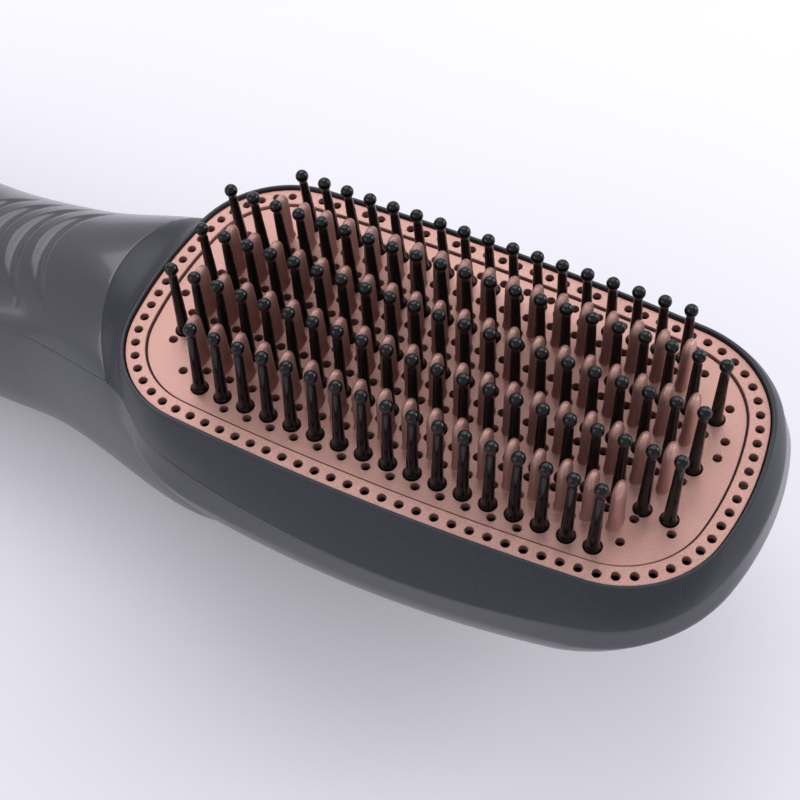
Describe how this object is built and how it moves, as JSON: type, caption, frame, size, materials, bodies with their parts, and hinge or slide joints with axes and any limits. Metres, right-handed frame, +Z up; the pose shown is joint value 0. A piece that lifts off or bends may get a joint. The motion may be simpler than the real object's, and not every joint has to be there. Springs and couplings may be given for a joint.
{
  "type": "steam hair straightener brush",
  "caption": "Steam hair straightener brush: round handle, head with a heated plate, heated teeth, ball-tipped pins and a ring of steam vents.",
  "frame": {"origin": "centre of the bounding box at its bottom, the handle's resting face", "axes": "+Z up, out of the heated plate along the pins; +X from the handle's end towards the head's tip; +Y across the head"},
  "size_m": [0.2876, 0.0764, 0.0736],
  "materials": {
    "gunmetal_housing": "satin metallic lacquer",
    "gloss_handle": "gloss metallic lacquer",
    "rose_gold_metal": "satin rose gold coating",
    "black_rubber": "matte",
    "black_nylon": "gloss",
    "heater_foil": "film",
    "steel": "plain",
    "white_nylon": "matte",
    "cast_aluminium": "as cast",
    "clear_tube": "silicone",
    "tank_plastic": "clear",
    "pump_plastic": "matte",
    "gloss_black": "gloss",
    "board_green": "satin",
    "component_brown": "matte",
    "brass_rings": "polished"
  },
  "bodies": {
    "housing": {"front_frame": "gunmetal_housing", "rear_shell": "gloss_handle", "handle_top_cover": "gloss_handle", "tail_cap": "gunmetal_housing", "vent_ring": "rose_gold_metal", "heater_plate": "rose_gold_metal", "plate_gasket": "black_rubber", "heater_film": "heater_foil", "steam_tray": "black_nylon", "tray_screws": "steel", "frame_screws": "steel", "heat_shield": "heater_foil", "plate_thermostat": "steel", "plate_thermistor": "white_nylon", "bristle_row_1": "black_nylon", "bristle_row_2": "black_nylon", "bristle_row_3": "black_nylon", "bristle_row_4": "black_nylon", "bristle_row_5": "black_nylon", "steam_generator": "cast_aluminium", "generator_heater": "steel", "generator_fuse": "white_nylon", "generator_screws": "steel", "steam_pipe": "clear_tube", "pipe_seal": "black_rubber", "water_pump": "pump_plastic", "pump_mount": "black_rubber", "inlet_tube": "clear_tube", "pump_tube": "clear_tube", "water_tank": "tank_plastic", "filler_pin": "steel", "control_panel": "gloss_black", "display_lens": "gloss_black", "display_module": "white_nylon", "control_board": "board_green", "tact_switches": "steel", "board_parts": "component_brown", "board_screws": "steel", "swivel_retainer": "white_nylon", "slip_rings": "brass_rings"},
    "filler_lid": {"filler_cap": "gloss_handle", "filler_seal": "black_rubber"},
    "swivel": {"cord_swivel": "black_nylon"},
    "power_button": {"power_button": "gloss_black"},
    "steam_button": {"steam_button": "gloss_black"},
    "temp_down_button": {"temp_down_button": "gloss_black"},
    "temp_up_button": {"temp_up_button": "gloss_black"}
  },
  "joints": [
    {"name": "filler_lid_hinge", "type": "hinge", "parent": "housing", "child": "filler_lid", "pos_m": [-0.12102, 0, 0.043], "axis": [0, -1, 0], "range_deg": [0, 100]},
    {"name": "cord_swivel_turn", "type": "hinge", "parent": "housing", "child": "swivel", "pos_m": [-0.13153, 0, 0.022], "axis": [1, 0, 0], "continuous": true},
    {"name": "power_button_press", "type": "slide", "parent": "housing", "child": "power_button", "axis": [0, 0, -1], "range_m": [0, 0.0008], "stiffness_N_per_m": 1500},
    {"name": "steam_button_press", "type": "slide", "parent": "housing", "child": "steam_button", "axis": [0, 0, -1], "range_m": [0, 0.0008], "stiffness_N_per_m": 1500},
    {"name": "temp_down_button_press", "type": "slide", "parent": "housing", "child": "temp_down_button", "axis": [0, 0, -1], "range_m": [0, 0.0008], "stiffness_N_per_m": 1500},
    {"name": "temp_up_button_press", "type": "slide", "parent": "housing", "child": "temp_up_button", "axis": [0, 0, -1], "range_m": [0, 0.0008], "stiffness_N_per_m": 1500}
  ]
}
